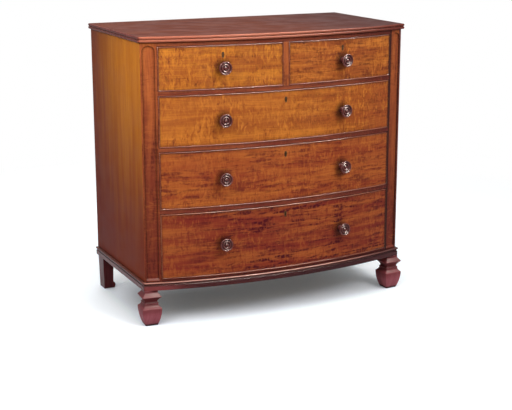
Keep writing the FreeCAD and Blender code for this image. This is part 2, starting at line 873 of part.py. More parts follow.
def lock(drawer):
    """Lock case with the slot of its bolt and its keyhole, and the escutcheon."""
    hole_end = front_thickness - lock_depth / 2
    case = lock_case(drawer, 0.0).cut([bolt_shape(drawer, bolt_play), keyhole(drawer, hole_end)])
    plate = escutcheon_blank(drawer).cut(keyhole(drawer, front_thickness))
    return [case, plate]


def spigot(drawer, x, play):
    """Squared spigot behind a knob, or with play its mortise in the front."""
    half, face = knob_spigot_half + play, bow_centre_y - bow_radius
    z0, z1 = drawer.knob_z - half, drawer.knob_z + half
    return turn_to(box(-half, half, face - play, face + knob_spigot_length + play, z0, z1), x)


def knob(drawer, x):
    """Turned knob with its spigot, square to the bow."""

    def section(radius, ahead):
        return vec(radius, bow_centre_y - bow_radius - ahead, drawer.knob_z)

    face = outline(section, (0.0, 0.0), knob_profile())
    head = turn_to(face.revolve(vec(0, 0, drawer.knob_z), vec(0, 1, 0), 360), x)
    return join([head, spigot(drawer, x, 0.0)])


def drawer_front(drawer, beads):
    """Bowed front, rebated for its beads and cut for its joints, bottom, lock and knobs."""
    blank = bow_panel(bow_radius, inner_radius, drawer.x0, drawer.x1, drawer.z0, drawer.z1)
    cutters = list(beads)
    for x0, x1 in side_ends(drawer):
        cutters += front_tails(drawer, x0, x1)
        seat = side_front(x0, x1)
        cutters.append(box(x0, x1, seat, seat + front_thickness, drawer.z0, drawer.side_top))
    cutters.append(bottom_slot(drawer, inner_radius + front_groove, 0.0))
    cutters += [lock_case(drawer, past), keyhole(drawer, front_thickness), escutcheon_blank(drawer)]
    cutters += [spigot(drawer, x, spigot_play) for x in drawer.knobs]
    return blank.cut(cutters)


def drawer_stops(drawer):
    """Two small blocks on the rail that the front's inner face meets when the drawer shuts."""
    middle = (drawer.x0 + drawer.x1) / 2
    away = stop_spread * (drawer.x1 - drawer.x0) / 2
    blocks = []
    for x in (middle - away, middle + away):
        x0, x1 = x - stop_width / 2, x + stop_width / 2
        radius = inner_radius - stop_gap
        back = max(bow_y(x0, radius), bow_y(x1, radius)) + stop_length
        blocks.append(bow_block(radius, x0, x1, back, drawer.floor, drawer.floor + stop_height))
    return blocks


def export_drawer(drawer):
    name = "drawer_" + drawer.name
    beads = cockbead(drawer)
    export(name + "_front", [drawer_front(drawer, beads)])
    export(name + "_beads_and_knobs", beads + [knob(drawer, x) for x in drawer.knobs])
    export(name + "_sides", [drawer_side(drawer, x0, x1) for x0, x1 in side_ends(drawer)])
    export(name + "_back", [drawer_back(drawer)])
    export(name + "_bottom", [drawer_bottom(drawer)])
    export(name + "_lock", lock(drawer))
    export(name + "_bolt", [bolt_shape(drawer, 0.0)])


# Assembly -----------------------------------------------------------------------------------------

def main():
    os.makedirs("parts", exist_ok=True)
    right_side, right_stile = side_board(), stile()
    export("top_board", [top_board()])
    export("side_right", [right_side])
    export("side_left", [mirrored(right_side)])
    export("stile_right", [right_stile])
    export("stile_left", [mirrored(right_stile)])
    export("frieze_rail", [frieze_rail()])
    export("drawer_rails", drawer_rails())
    export("base_rail", [rail(BASE_LEVEL, False)])
    export("muntin", [muntin()])
    export("partition", [partition()])
    export("bottom_board", [bottom_board()])
    export("base_moulding", base_moulding())
    export("drawer_runners", drawer_runners())
    export("dustboards", dustboards())
    export("back_boards", back_boards())

    places = foot_places()
    right_rear = rear_foot(*places[3])
    export("front_feet", [front_foot(*place) for place in places[:2]])
    export("rear_feet", [right_rear, mirrored(right_rear)])

    stops = []
    for row in DRAWERS:
        drawer = Drawer(*row)
        export_drawer(drawer)
        stops += drawer_stops(drawer)
    export("drawer_stops", stops)


main()
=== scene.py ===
import math

import bpy
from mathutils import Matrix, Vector


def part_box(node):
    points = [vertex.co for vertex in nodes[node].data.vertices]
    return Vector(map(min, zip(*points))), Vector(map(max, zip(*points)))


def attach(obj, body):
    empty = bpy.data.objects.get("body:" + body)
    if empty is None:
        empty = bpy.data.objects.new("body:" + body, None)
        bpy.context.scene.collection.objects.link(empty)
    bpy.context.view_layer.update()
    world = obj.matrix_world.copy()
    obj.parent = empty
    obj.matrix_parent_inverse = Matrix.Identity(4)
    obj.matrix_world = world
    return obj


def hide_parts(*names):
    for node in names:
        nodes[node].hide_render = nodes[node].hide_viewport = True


# Bow front chest of drawers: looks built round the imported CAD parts. Metres, +Z up, the front faces -Y.

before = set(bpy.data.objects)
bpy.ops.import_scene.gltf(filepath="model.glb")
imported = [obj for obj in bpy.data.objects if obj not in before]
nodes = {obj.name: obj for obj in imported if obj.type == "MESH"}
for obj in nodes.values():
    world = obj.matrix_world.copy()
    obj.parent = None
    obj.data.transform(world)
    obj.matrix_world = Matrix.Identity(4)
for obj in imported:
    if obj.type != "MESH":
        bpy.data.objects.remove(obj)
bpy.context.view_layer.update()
MM = 0.001

DRAWERS = ("short_left", "short_right", "upper", "middle", "lower")


# Shared geometry ----------------------------------------------------------------------------------

HALF_WIDTH = 530.0 * MM     # of the carcase
SIDE_DEPTH = 532.0 * MM     # from a front corner of the carcase to its back
BOW_RISE = 75.0 * MM        # the middle of the front stands this far before its corners
BOW_RADIUS = (HALF_WIDTH ** 2 + BOW_RISE ** 2) / (2 * BOW_RISE)
REAR_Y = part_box("top_board")[1].y
BOW_CENTRE_Y = REAR_Y - SIDE_DEPTH + BOW_RADIUS - BOW_RISE
KNOB_OFFSET = 241.5 * MM    # of a knob from the middle of the chest, along X


def bow_y(x, ahead=0.0):
    """Y of the bowed face, or of a surface this far ahead of it."""
    return BOW_CENTRE_Y - math.sqrt((BOW_RADIUS + ahead) ** 2 - x ** 2)


def spread(start, end, count):
    """Evenly spaced values, with both ends."""
    return [start + (end - start) * i / (count - 1) for i in range(count)]


def arc(start, through, end, count):
    """Points on the circle arc from start through a middle point to end, without the start."""
    (ax, ay), (bx, by), (cx, cy) = start, through, end
    d = 2 * (ax * (by - cy) + bx * (cy - ay) + cx * (ay - by))
    a2, b2, c2 = ax * ax + ay * ay, bx * bx + by * by, cx * cx + cy * cy
    ux = (a2 * (by - cy) + b2 * (cy - ay) + c2 * (ay - by)) / d
    uy = (a2 * (cx - bx) + b2 * (ax - cx) + c2 * (bx - ax)) / d
    first = math.atan2(ay - uy, ax - ux)
    turn = (math.atan2(cy - uy, cx - ux) - first + math.pi) % (2 * math.pi) - math.pi
    radius = math.hypot(ax - ux, ay - uy)
    angles = [first + turn * i / count for i in range(1, count + 1)]
    return [(ux + radius * math.cos(a), uy + radius * math.sin(a)) for a in angles]


def finish_mesh(name, verts, faces, sharp_degrees):
    """New object, smooth but for the edges that turn more than this."""
    mesh = bpy.data.meshes.new(name)
    mesh.from_pydata([tuple(v) for v in verts], [], faces)
    mesh.validate()
    mesh.shade_smooth()
    mesh.set_sharp_from_angle(angle=math.radians(sharp_degrees))
    piece = bpy.data.objects.new(name, mesh)
    bpy.context.scene.collection.objects.link(piece)
    return piece


def lattice(rows, wrap_rows, wrap_columns, caps=()):
    """Vertices and faces over rows of points. caps names the open ends that are closed."""
    count, width = len(rows), len(rows[0])
    verts = [point for row in rows for point in row]
    faces = []
    for i in range(count if wrap_rows else count - 1):
        for j in range(width if wrap_columns else width - 1):
            a, b = i * width + j, i * width + (j + 1) % width
            up = ((i + 1) % count) * width
            faces.append((a, b, up + (j + 1) % width, up + j))
    ends = {
        "first_row": list(range(width))[::-1],
        "last_row": list(range((count - 1) * width, count * width)),
        "first_column": [i * width for i in range(count)],
        "last_column": [i * width + width - 1 for i in range(count)][::-1],
    }
    faces += [tuple(ends[cap]) for cap in caps]
    return verts, faces


def merged(parts):
    """One vertex and face list from several."""
    verts, faces = [], []
    for more_verts, more_faces in parts:
        start = len(verts)
        verts += more_verts
        faces += [tuple(start + index for index in face) for face in more_faces]
    return verts, faces


# Mouldings ----------------------------------------------------------------------------------------

REEDED_EDGE = 10.0 * MM     # the top and the base moulding stand this far outside the carcase
REED_STRIP = 4.0 * MM       # the reeds are a strip this wide round the flat of the top
REED_PROUD = 2.6 * MM       # a reed's round stands this far before its two edges
REED_QUIRK = 1.0 * MM       # height of the groove between the reeds
QUIRK_INSET = 0.3 * MM      # the groove's floor is narrower by this above and below
QUIRK_DEPTH = 0.5 * MM      # behind the edges of the reeds
BOW_STEPS = 65              # points along a bowed edge
MOULDING_SHARP = 40         # degrees


def rim_path(out):
    """Plan of an edge this far outside the carcase, from the rear left corner round to the rear right."""
    x = HALF_WIDTH + out
    front = [(p, bow_y(p, out)) for p in spread(-x, x, BOW_STEPS)]
    return [(-x, REAR_Y)] + front + [(x, REAR_Y)]


def half_round(z0, z1, flank, out, count=10):
    """Profile of a round reed from its lower to its upper edge."""
    return [(flank, z0)] + arc((flank, z0), (out, (z0 + z1) / 2), (flank, z1), count)


def run_moulding(name, profile):
    """Moulding of one profile, run along the rim of the chest."""
    rows = [[(x, y, z) for x, y in rim_path(across)] for across, z in profile]
    verts, faces = lattice(rows, True, False, ("first_column", "last_column"))
    return finish_mesh(name, verts, faces, MOULDING_SHARP)


def top_slab():
    """Flat board inside the reeded edge."""
    lo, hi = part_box("top_board")
    rows = [[(x, y, z) for x, y in rim_path(REEDED_EDGE - REED_STRIP)] for z in (lo.z, hi.z)]
    verts, faces = lattice(rows, False, True, ("first_row", "last_row"))
    return finish_mesh("top_board_flat", verts, faces, MOULDING_SHARP)


def top_reeds():
    """Two reeds with a groove between them, round the front and the sides of the top."""
    lo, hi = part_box("top_board")
    z0, z1, out = lo.z, hi.z, REEDED_EDGE
    flank = out - REED_PROUD
    reed = (z1 - z0 - REED_QUIRK) / 2
    quirk = flank - QUIRK_DEPTH
    groove = [(quirk, z0 + reed + QUIRK_INSET), (quirk, z1 - reed - QUIRK_INSET)]
    profile = half_round(z0, z0 + reed, flank, out) + groove + half_round(z1 - reed, z1, flank, out)
    inner = out - REED_STRIP
    return run_moulding("top_board_reeds", [(inner, z0)] + profile + [(inner, z1)])


def base_moulding():
    """Base moulding: a flat fascia under two round beads with a quirk between them."""
    lo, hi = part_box("base_moulding")
    z0, z1, out = lo.z, hi.z, REEDED_EDGE
    bead = z1 - 6.5 * MM
    second, second_high = bead - 7.0 * MM, 5.5 * MM
    fascia, quirk = out - 2.4 * MM, out - 3.6 * MM
    arris, seat, clear = 0.6 * MM, 0.2 * MM, 0.4 * MM
    profile = [(0.0, z0), (fascia - arris, z0), (fascia, z0 + arris), (fascia, second - seat)]
    profile += half_round(second, second + second_high, out - second_high / 2, out)
    profile += [(quirk, second + second_high + clear), (quirk, bead - clear)]
    profile += half_round(bead, z1, out - (z1 - bead) / 2, out) + [(0.0, z1)]
    return run_moulding("base_moulding_beaded", profile)


# Drawer beads and knobs ---------------------------------------------------------------------------

BEAD_WIDTH = 4.0 * MM
BEAD_DEPTH = 7.5 * MM       # let into the front
BEAD_PROUD = 2.5 * MM       # of the bowed face
BEAD_FLANK = 0.5 * MM       # straight before the nose begins
BEAD_STEP = 16.0 * MM       # about this far between points along the bow
BEAD_SHARP = 50             # degrees
KNOB_SIDES = 48
KNOB_SHARP = 60             # degrees


def bead_frame(x0, x1, z0, z1):
    """Mitred cockbead frame: rounded nose standing proud of the bowed face."""
    start, end = (0.0, BEAD_FLANK), (BEAD_WIDTH, BEAD_FLANK)
    nose = [start] + arc(start, (BEAD_WIDTH / 2, BEAD_PROUD), end, 8)
    profile = [(0.0, -BEAD_DEPTH)] + nose + [(BEAD_WIDTH, -BEAD_DEPTH)]
    steps = max(9, round((x1 - x0) / BEAD_STEP))
    rows = []
    for inset, ahead in profile:
        low, top = z0 + inset, z1 - inset
        across = spread(x0 + inset, x1 - inset, steps)
        row = [(x, bow_y(x, ahead), top) for x in across]
        row += [(x, bow_y(x, ahead), low) for x in reversed(across)]
        rows.append(row)
    return lattice(rows, True, True)


# Radius and distance before the drawer's face, in millimetres, from the neck out to the middle of the button
KNOB_PROFILE = [
    (9.6, -1.0), (9.6, 2.2), (8.8, 3.4), (8.8, 8.0), (9.4, 11.5), (11.2, 16.0), (14.2, 21.0), (18.0, 25.6),
    (21.4, 28.6), (23.4, 30.4), (24.0, 32.0), (23.9, 33.4), (23.2, 34.5), (22.1, 35.0), (21.0, 34.8),
    (20.0, 34.0), (19.3, 32.7), (18.4, 31.3), (17.2, 30.7), (16.0, 31.0), (15.2, 32.0), (14.6, 33.2),
    (13.7, 34.2), (12.6, 34.6), (11.4, 34.4), (10.5, 33.5), (9.8, 32.2), (8.9, 31.2), (7.9, 30.8),
    (7.1, 31.2), (6.5, 32.2), (5.9, 33.4), (4.9, 34.4), (3.4, 34.9), (1.7, 35.0), (0.15, 35.0),
]


def knob(x, z):
    """Turned knob: hollow neck, round rim, and a ring and a button on its face."""
    angle = math.asin(x / BOW_RADIUS)
    ahead_x, ahead_y = math.sin(angle), -math.cos(angle)
    rows = []
    for radius, ahead in KNOB_PROFILE:
        reach = BOW_RADIUS + ahead * MM
        row = []
        for step in range(KNOB_SIDES):
            turn = 2 * math.pi * step / KNOB_SIDES
            side, up = radius * MM * math.cos(turn), radius * MM * math.sin(turn)
            row.append((
                reach * ahead_x - side * ahead_y,
                BOW_CENTRE_Y + reach * ahead_y + side * ahead_x,
                z + up,
            ))
        rows.append(row)
    return lattice(rows, False, True, ("last_row",))


def drawer_trim(name):
    """Beads and knobs of a drawer as two pieces."""
    lo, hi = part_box(f"drawer_{name}_front")
    node = f"drawer_{name}_beads_and_knobs"
    beads = finish_mesh(f"drawer_{name}_cockbeads", *bead_frame(lo.x, hi.x, lo.z, hi.z), BEAD_SHARP)
    centre = sum(corner.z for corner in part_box(node)) / 2
    turned = [knob(x, centre) for x in (-KNOB_OFFSET, KNOB_OFFSET) if lo.x < x < hi.x]
    knobs = finish_mesh(f"drawer_{name}_knobs", *merged(turned), KNOB_SHARP)
    for piece in (beads, knobs):
        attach(piece, f"drawer_{name}")
        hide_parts(node)
    return beads, knobs


# Front feet ---------------------------------------------------------------------------------------

FOOT_BELLY = 36.5           # half width, in millimetres like all of the profile
FOOT_ARRIS = 1.4            # the corners are rounded to this radius
FOOT_TURN = math.radians(5.0)
FOOT_SHARP = 35             # degrees


def foot_profile():
    """Half width and height of the square baluster in millimetres, from the toe to the cap."""
    points = [(22.3, 0.0), (23.0, 0.9)]
    points += arc((23.0, 0.9), (32.7, 31.2), (FOOT_BELLY, 64.0), 10)
    points += [(36.3, 65.8), (35.2, 67.4)]
    points += arc((35.2, 67.4), (28.6, 73.6), (25.6, 82.6), 6)
    points += [(26.6, 83.2), (26.6, 85.6), (24.2, 86.6)]
    points += arc((24.2, 86.6), (22.6, 89.6), (23.4, 93.0), 4)
    points += arc((23.4, 93.0), (27.2, 99.4), (35.2, 107.8), 6)
    points += [(36.0, 109.0), (36.0, 110.4), (35.4, 111.2), (25.8, 123.2), (25.0, 124.4), (25.0, 133.0)]
    return points


def front_foot(centre, turn):
    """Square baluster with rounded corners, turned about its own axis."""
    c, s = math.cos(turn), math.sin(turn)
    rows = []
    for half, z in foot_profile():
        row = []
        for quarter in range(4):
            to_right = 1 if quarter in (0, 3) else -1
            to_rear = 1 if quarter in (0, 1) else -1
            for step in range(4):
                angle = math.radians(90 * quarter + 30 * step)
                across = (half - FOOT_ARRIS) * to_right + FOOT_ARRIS * math.cos(angle)
                deep = (half - FOOT_ARRIS) * to_rear + FOOT_ARRIS * math.sin(angle)
                row.append((
                    centre.x + (across * c - deep * s) * MM,
                    centre.y + (across * s + deep * c) * MM,
                    z * MM,
                ))
        rows.append(row)
    return lattice(rows, False, True, ("first_row", "last_row"))


def front_feet():
    """Both front feet, turned a little outwards with the bow."""
    lo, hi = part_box("front_feet")
    reach = FOOT_BELLY * MM * (math.cos(FOOT_TURN) + math.sin(FOOT_TURN))
    y = lo.y + reach
    left = front_foot(Vector((lo.x + reach, y, 0.0)), -FOOT_TURN)
    right = front_foot(Vector((hi.x - reach, y, 0.0)), FOOT_TURN)
    return finish_mesh("front_feet_baluster", *merged([left, right]), FOOT_SHARP)


# Materials ----------------------------------------------------------------------------------------

def srgb(red, green, blue):
    """Linear colour from 0-255 display values."""
    def linear(v):
        v /= 255.0
        return v / 12.92 if v <= 0.04045 else ((v + 0.055) / 1.055) ** 2.4
    return (linear(red), linear(green), linear(blue), 1.0)


class Shader:
    """Short ways to add nodes to one material."""

    def __init__(self, name):
        self.material = bpy.data.materials.new(name)
        self.material.use_nodes = True
        self.tree = self.material.node_tree
        self.tree.nodes.clear()
        self.place = self.add("ShaderNodeTexCoord").outputs["Object"]

    def add(self, kind, inputs=(), **settings):
        """New node, with its inputs linked or set, and its settings."""
        node = self.tree.nodes.new(kind)
        for key, value in settings.items():
            setattr(node, key, value)
        for key, value in dict(inputs).items():
            if isinstance(value, bpy.types.NodeSocket):
                self.tree.links.new(value, node.inputs[key])
            else:
                node.inputs[key].default_value = value
        return node

    def maths(self, operation, a, b=0.0):
        return self.add("ShaderNodeMath", {0: a, 1: b}, operation=operation).outputs[0]

    def times(self, a, b):
        return self.maths("MULTIPLY", a, b)

    def plus(self, a, b):
        return self.maths("ADD", a, b)

    def minus(self, a, b):
        return self.maths("SUBTRACT", a, b)

    def axis(self, index):
        """X, Y or Z of the place on the piece."""
        return self.add("ShaderNodeSeparateXYZ", {0: self.place}).outputs[index]

    def scaled(self, x, y, z, vector=None):
        """Coordinates in repeats per metre along each axis."""
        inputs = {0: vector or self.place, 1: (x, y, z)}
        return self.add("ShaderNodeVectorMath", inputs, operation="MULTIPLY").outputs[0]

    def noise(self, vector, seed, detail=3.0, roughness=0.5, distortion=0.0):
        """Soft noise from 0 to 1, one repeat a unit, with a pattern of its own for each seed."""
        inputs = {
            "Vector": vector, "W": seed, "Scale": 1.0, "Detail": detail,
            "Roughness": roughness, "Distortion": distortion,
        }
        return self.add("ShaderNodeTexNoise", inputs, noise_dimensions="4D").outputs["Fac"]

    def figure(self, grain, along, across, seed, *looks):
        """Noise with this many repeats a metre along and across the grain."""
        return self.noise(self.scaled(along, across, 1.0, grain), seed, *looks)

    def band(self, value, low, high, to_low=0.0, to_high=1.0):
        """Smooth step of a value between two limits."""
        inputs = {"Value": value, 1: low, 2: high, 3: to_low, 4: to_high}
        return self.add("ShaderNodeMapRange", inputs, interpolation_type="SMOOTHSTEP").outputs[0]

    def mix(self, amount, first, second):
        """First colour, with this amount of the second laid over it."""
        inputs = {0: amount, 6: first, 7: second}
        return self.add("ShaderNodeMix", inputs, data_type="RGBA").outputs[2]

    def rounded(self, radius, samples=6):
        """Normal as if the arrises were rounded to this radius."""
        return self.add("ShaderNodeBevel", {"Radius": radius}, samples=samples).outputs[0]

    def edge(self, radius):
        """1 on the arrises of a piece, 0 on its flats."""
        rounded = self.rounded(radius)
        flat = self.add("ShaderNodeNewGeometry").outputs["True Normal"]
        dot = self.add("ShaderNodeVectorMath", {0: rounded, 1: flat}, operation="DOT_PRODUCT")
        return self.band(dot.outputs["Value"], 0.99, 0.80)

    def open_air(self, distance, samples=6):
        """1 where nothing stands within this distance, less where something does."""
        return self.add("ShaderNodeAmbientOcclusion", {"Distance": distance}, samples=samples).outputs["AO"]

    def crevice(self, distance, free=0.92, deep=0.50):
        """1 deep in the corners between pieces, 0 in the open."""
        return self.band(self.open_air(distance), free, deep)

    def bump(self, height, strength, distance, normal=None):
        """Normal of a fine relief."""
        inputs = {"Height": height, "Strength": strength, "Distance": distance}
        if normal:
            inputs["Normal"] = normal
        return self.add("ShaderNodeBump", inputs).outputs[0]

    def surface(self, **inputs):
        """End the material with one surface shader. Its inputs are named with _ for a space."""
        named = {key.replace("_", " "): value for key, value in inputs.items()}
        bsdf = self.add("ShaderNodeBsdfPrincipled", named)
        self.add("ShaderNodeOutputMaterial", {"Surface": bsdf.outputs[0]})
        return self.material


# How X, Y and Z of the piece count along the grain, and how they count across it
GRAIN = {
    "x": ((1, 0.15, 0), (0, 0, 1)),
    "top": ((1, 0, 0), (0, 1, 0.3)),
    "y": ((0, 1, 0), (0, 0, 1)),
    "z": ((0, 0, 1), (1, 1, 0)),
    "run": ((1, 1, 0), (0, 0, 1)),    # along a moulding that turns the corner
}
GRAIN_DRIFT = 22 * MM       # how far the grain wanders across its run
BORDER_WANDER = 0.30        # of a tone's border, as a share of its width
TONE_STRENGTH = 0.90
X, Y, Z = range(3)


def grain_place(s, direction):
    """Vector whose X runs along the grain and whose Y runs across it."""
    along, across = (
        s.add("ShaderNodeVectorMath", {0: s.place, 1: weights}, operation="DOT_PRODUCT").outputs["Value"]
        for weights in GRAIN[direction]
    )
    flat = s.add("ShaderNodeCombineXYZ", {0: along, 1: across, 2: 0.0}).outputs[0]
    drift = s.figure(flat, 2.2, 9.0, 0.7, 2.0)
    shift = s.add("ShaderNodeCombineXYZ", {1: s.times(s.minus(drift, 0.5), GRAIN_DRIFT)}).outputs[0]
    return s.add("ShaderNodeVectorMath", {0: flat, 1: shift}, operation="ADD").outputs[0]


def toned(s, colour, tones, wander):
    """Lay tones over a colour, each from one place on an axis to another, with an uneven border."""
    for tone, axis, start, end in tones:
        place = s.axis(axis)
        uneven = s.times(s.minus(wander, 0.5), BORDER_WANDER * (end - start))
        amount = s.band(s.plus(place, uneven), start, end, 0.0, TONE_STRENGTH)
        colour = s.mix(amount, colour, tone)
    return colour


CORNER_REACH = 9 * MM       # dirt and painted shade reach this far out of a corner
# colour of the corners: dirt, and painted shade where shade falls
DIRT_AND_SHADE = srgb(26, 9, 11)
KNOB_SHADE = srgb(30, 10, 8)
KNOB_SHADE_STRENGTH = 0.9


def mahogany(name, light, deep, dark, direction, seed, ticks=0.0, streaks=0.0, curl=0.0, rising=None,
             aged=(), seam_shade=(), gloss=0.34, reflect=0.05, dirt_and_shade=0.80, hollows=CORNER_REACH, under=0.0,
             worn=1.2 * MM, arris=0.40):
    """Polished figured mahogany.

    light, deep, dark: the colours of the wood, its veins and its figure.
    ticks: short dark bars across the grain, in rows.
    streaks: long dark veins.
    curl: soft bars of light and shade across the grain, in patches.
    rising: the X from which and to which ticks and streaks grow to their full strength.
    aged: (colour, axis, from, to) tones along an axis: mostly painted light and shade, some the wood's own
    tone.
    seam_shade: the same for painted shade lines, which lie over the figure and the wear.
    gloss: roughness of the polish. reflect: strength of its reflection.
    hollows: reach of the dirt and painted shade in the corners. dirt_and_shade: its strength.
    under: reach of the painted shade round the knobs.
    worn: reach of the wear and painted highlight on the arrises. arris: its strength.
    """
    s = Shader(name)
    grain = grain_place(s, direction)
    ribbon = s.figure(grain, 2.4, 30.0, seed, 4.0, 0.55, 0.4)
    lines = s.figure(grain, 7.0, 190.0, seed + 1, 4.0, 0.6, 0.3)
    fine = s.figure(grain, 16.0, 620.0, seed + 2, 2.0, 0.6)
    pore = s.band(s.figure(grain, 110.0, 1500.0, seed + 3, 1.0), 0.64, 0.74)

    # Plain wood, its tones, and painted light and shade along the axes
    colour = s.mix(s.band(ribbon, 0.32, 0.68), light, deep)
    colour = s.mix(s.band(lines, 0.40, 0.66, 0.0, 0.55), colour, deep)
    colour = s.mix(s.band(lines, 0.44, 0.26, 0.0, 0.40), colour, light)
    colour = s.mix(s.band(fine, 0.45, 0.78, 0.0, 0.30), colour, dark)
    colour = toned(s, colour, aged, ribbon)

    # Figure
    full = s.band(s.axis(X), *rising, 0.30, 1.0) if rising else 1.0
    if curl:
        patch = s.band(s.figure(grain, 6.0, 9.0, seed + 11, 2.0), 0.40, 0.60, 0.35 * curl, curl)
        bars = s.figure(grain, 84.0, 30.0, seed + 4, 4.0, 0.65, 1.2)
        colour = s.mix(s.times(s.band(bars, 0.50, 0.63), patch), colour, light)
        colour = s.mix(s.times(s.band(bars, 0.49, 0.37), patch), colour, deep)
        colour = s.mix(s.times(s.band(bars, 0.43, 0.31, 0.0, 0.7), patch), colour, dark)
    if ticks:
        rows = s.band(s.figure(grain, 7.0, 38.0, seed + 5, 4.0, 0.65, 1.0), 0.44, 0.66)
        tick = s.band(s.figure(grain, 96.0, 42.0, seed + 6, 4.0, 0.65, 1.0), 0.42, 0.64)
        amount = s.times(s.times(rows, tick), s.times(full, ticks))
        colour = s.mix(amount, colour, dark)
    if streaks:
        where = s.band(s.figure(grain, 2.4, 9.0, seed + 7, 2.0), 0.32, 0.52)
        vein = s.band(s.figure(grain, 12.0, 88.0, seed + 8, 5.0, 0.62, 0.6), 0.48, 0.59)
        broken = s.band(s.figure(grain, 105.0, 60.0, seed + 9, 2.0), 0.38, 0.56, 0.35, 1.0)
        amount = s.times(s.times(where, vein), s.times(broken, full))
        colour = s.mix(s.times(amount, streaks), colour, dark)
    colour = s.mix(s.times(pore, 0.45), colour, dark)

    # Dirt and painted shade in the corners, wear and painted highlight on the arrises, painted shade round
    # the knobs
    # painted shade: darker in corners, creases and between parts, partly dirt
    colour = s.mix(s.times(s.crevice(hollows), dirt_and_shade), colour, DIRT_AND_SHADE)
    # wear and painted highlight: lighter colour along every arris
    colour = s.mix(s.times(s.edge(worn), arris), colour, light)
    # painted shadow lines, laid over everything
    colour = toned(s, colour, seam_shade, ribbon)
    # painted shade round the knobs
    if under:
        shade = s.times(s.crevice(under, 0.90, 0.72), KNOB_SHADE_STRENGTH)
        colour = s.mix(shade, colour, KNOB_SHADE)

    # Polish
    cloud = s.noise(s.scaled(14.0, 14.0, 14.0), seed + 10, 3.0)
    rough = s.plus(s.band(cloud, 0.3, 0.7, gloss - 0.05, gloss + 0.07), s.times(pore, 0.18))
    relief = s.minus(s.times(fine, 0.35), s.times(pore, 0.8))
    normal = s.bump(relief, 0.35, 0.12 * MM, s.rounded(0.9 * MM))
    return s.surface(Base_Color=colour, Roughness=rough, Normal=normal, Specular_IOR_Level=reflect)


PINE_PALE = srgb(198, 158, 110)
PINE_RING = srgb(162, 116, 72)
PINE_FIBRE = srgb(140, 98, 60)
PINE_KNOT = srgb(84, 50, 30)
PINE_BROWN = srgb(146, 104, 66)
PINE_JOINT = srgb(56, 38, 26)
PINE_STAIN = srgb(104, 78, 56)
PINE_CORNER_SHADE = srgb(52, 34, 24)
BACK_BOARDS = 6
BACK_JOINT = 0.8 * MM       # gap between two back boards
JOINT_SOFT = 3.0 * MM       # the dark beside a joint reaches this far


def pine(name, seed, direction, boards=None):
    """Plain pine gone grey-brown inside the carcase.

    boards: the X of the first joint and the pitch of boards that stand side by side, each a cut of its own.
    """
    s = Shader(name)
    grain = grain_place(s, direction)
    if boards:
        first, pitch = boards
        count = s.maths("DIVIDE", s.minus(s.axis(X), first), pitch)
        board = s.add("ShaderNodeTexWhiteNoise", {"W": s.maths("FLOOR", count)}, noise_dimensions="1D")
        cut = board.outputs["Value"]
        shift = s.add("ShaderNodeCombineXYZ", {0: s.times(cut, 9.0), 1: cut}).outputs[0]
        grain = s.add("ShaderNodeVectorMath", {0: grain, 1: shift}, operation="ADD").outputs[0]
    ring = s.figure(grain, 1.6, 60.0, seed, 3.0, 0.5, 0.5)
    fine = s.figure(grain, 20.0, 700.0, seed + 1, 2.0)
    colour = s.mix(s.band(ring, 0.35, 0.68), PINE_PALE, PINE_RING)
    colour = s.mix(s.band(fine, 0.45, 0.8, 0.0, 0.4), colour, PINE_FIBRE)
    knots = s.add("ShaderNodeTexVoronoi", {"Vector": s.scaled(3.0, 6.5, 1.0, grain), "Scale": 1.0}).outputs[0]
    colour = s.mix(s.band(knots, 0.10, 0.02, 0.0, 0.8), colour, PINE_KNOT)
    if boards:
        colour = s.mix(s.times(cut, 0.40), colour, PINE_BROWN)
        off_middle = s.maths("ABSOLUTE", s.minus(s.maths("FRACT", count), 0.5))
        joint = s.band(off_middle, 0.5 - JOINT_SOFT / pitch, 0.5 - BACK_JOINT / pitch, 0.0, 0.85)
        colour = s.mix(joint, colour, PINE_JOINT)
    stain = s.noise(s.scaled(6.0, 6.0, 6.0), seed + 2, 4.0)
    colour = s.mix(s.band(stain, 0.50, 0.75, 0.0, 0.35), colour, PINE_STAIN)
    # painted shade: darker in the corners and between parts
    colour = s.mix(s.times(s.crevice(CORNER_REACH), 0.6), colour, PINE_CORNER_SHADE)
    rough = s.band(fine, 0.3, 0.7, 0.62, 0.78)
    normal = s.bump(s.plus(fine, s.times(ring, 0.5)), 0.4, 0.2 * MM)
    return s.surface(Base_Color=colour, Roughness=rough, Normal=normal, Specular_IOR_Level=0.25)


def brass(name):
    """Old brass, dull and brown in its corners."""
    s = Shader(name)
    cloud = s.noise(s.scaled(120.0, 120.0, 120.0), 3.0, 4.0, 0.6)
    brushed = s.noise(s.scaled(200.0, 200.0, 2600.0), 5.0, 2.0)
    worn, dull, corner = srgb(72, 50, 31), srgb(42, 27, 18), srgb(46, 30, 20)
    colour = s.mix(s.band(cloud, 0.35, 0.70), worn, dull)
    colour = s.mix(s.times(s.crevice(3 * MM), 0.8), colour, corner)
    rough = s.band(cloud, 0.3, 0.7, 0.42, 0.60)
    normal = s.bump(brushed, 0.2, 0.05 * MM, s.rounded(0.4 * MM, 4))
    return s.surface(Base_Color=colour, Roughness=rough, Normal=normal, Metallic=1.0)


def dress(piece, material):
    """Give the piece this one finish."""
    piece.data.materials.clear()
    piece.data.materials.append(material)


KNOB_SHADE_REACH = 32 * MM

# The palettes run darker from the short drawers to the lowest: partly the veneers' own colour, partly painted
# shade as the light falls off downwards.
GOLD = dict(light=srgb(204, 126, 42), deep=srgb(146, 74, 34), dark=srgb(88, 34, 22))
TAWNY = dict(light=srgb(198, 118, 46), deep=srgb(150, 76, 34), dark=srgb(80, 28, 22))
AMBER = dict(light=srgb(200, 121, 44), deep=srgb(154, 80, 34), dark=srgb(88, 34, 24))
RUSSET = dict(light=srgb(184, 104, 44), deep=srgb(142, 62, 34), dark=srgb(84, 24, 26))
WINE = dict(light=srgb(168, 90, 42), deep=srgb(124, 44, 32), dark=srgb(68, 13, 24))


def veneer(drawer, **looks):
    """Veneer of a drawer front, with painted shade round its knobs."""
    return mahogany(f"veneer_{drawer}", direction="x", under=KNOB_SHADE_REACH, **looks)


